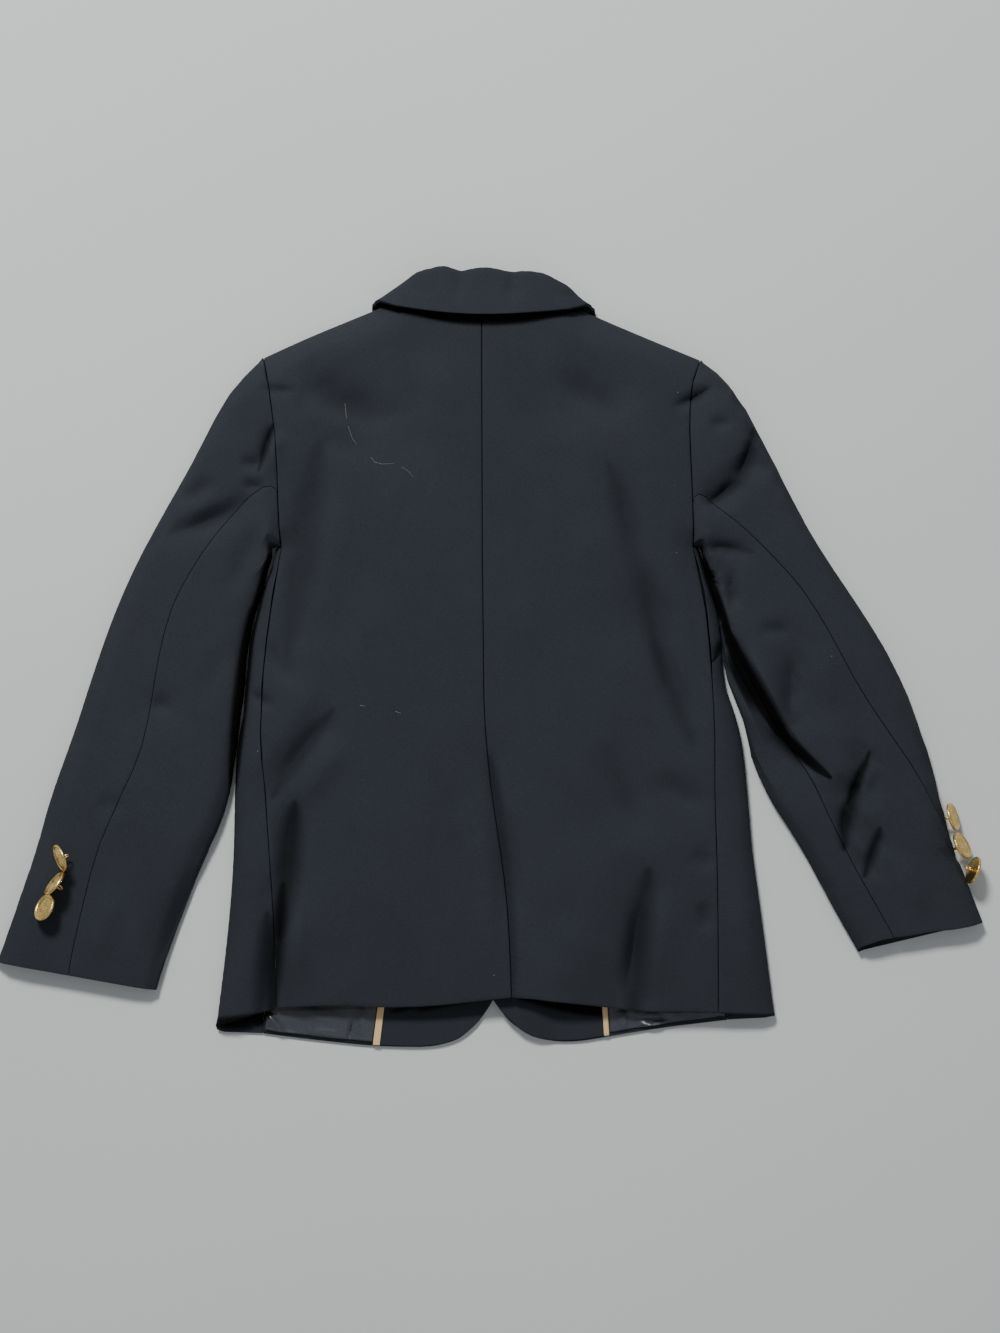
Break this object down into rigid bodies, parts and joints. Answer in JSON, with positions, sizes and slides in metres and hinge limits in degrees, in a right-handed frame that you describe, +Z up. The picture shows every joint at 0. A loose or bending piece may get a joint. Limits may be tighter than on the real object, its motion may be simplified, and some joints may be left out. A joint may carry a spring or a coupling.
{
  "type": "blazer",
  "caption": "Child's single-breasted blazer with notch lapels, centre vent and gold shank buttons, laid flat face down as rigid cloth shells.",
  "frame": {"origin": "centre of the bounding box's bottom, on the surface that the blazer lies on", "axes": "+Z up from the surface, +X across from the wearer's left sleeve to the right, +Y from hem to collar"},
  "size_m": [0.6126, 0.481, 0.0346],
  "materials": {
    "navy_worsted": "matte worsted wool blend",
    "grey_satin_lining": "satin",
    "gold_piping": "satin piping",
    "gold_plated_brass": "stippled, polished rim"
  },
  "bodies": {
    "root": {"back_left": "navy_worsted", "back_right": "navy_worsted", "vent_underlap": "navy_worsted", "side_left": "navy_worsted", "side_right": "navy_worsted", "front_left": "navy_worsted", "front_right": "navy_worsted", "collar": "navy_worsted", "sleeve_left_upper": "navy_worsted", "sleeve_left_under": "navy_worsted", "sleeve_right_upper": "navy_worsted", "sleeve_right_under": "navy_worsted", "facing_left": "navy_worsted", "facing_right": "navy_worsted", "lining_left": "grey_satin_lining", "lining_right": "grey_satin_lining", "piping_left": "gold_piping", "piping_right": "gold_piping", "button_left_1": "gold_plated_brass", "button_left_2": "gold_plated_brass", "button_left_3": "gold_plated_brass", "button_right_1": "gold_plated_brass", "button_right_2": "gold_plated_brass", "button_right_3": "gold_plated_brass", "front_button_1": "gold_plated_brass", "front_button_2": "gold_plated_brass"}
  },
  "joints": []
}
